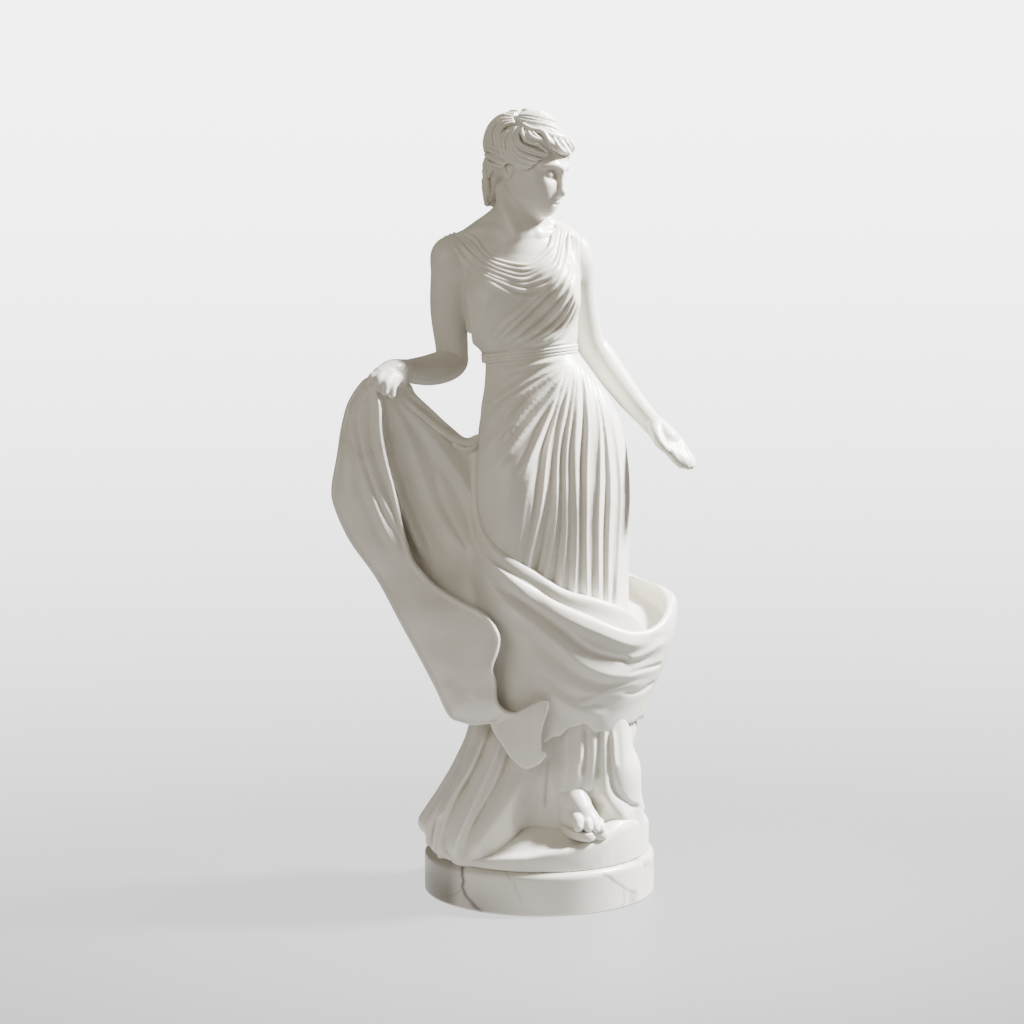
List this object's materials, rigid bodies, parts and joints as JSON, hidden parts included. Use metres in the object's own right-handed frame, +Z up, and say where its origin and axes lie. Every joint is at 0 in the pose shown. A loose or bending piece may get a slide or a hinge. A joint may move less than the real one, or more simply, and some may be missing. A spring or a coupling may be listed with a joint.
{
  "type": "classical marble statue",
  "caption": "Life-size standing draped woman in white marble, head turned, one hand lifting her mantle, on a low round veined plinth.",
  "frame": {"origin": "centre of the plinth's underside", "axes": "+Z up; the figure faces -Y and +X is the viewer's right"},
  "size_m": [0.7699, 0.5, 1.6895],
  "materials": {
    "white_marble": "polished white marble with faint warm grey clouding",
    "veined_marble": "polished warm white marble with brown-grey veins"
  },
  "bodies": {
    "root": {"statue": "white_marble", "plinth": "veined_marble"}
  },
  "joints": []
}
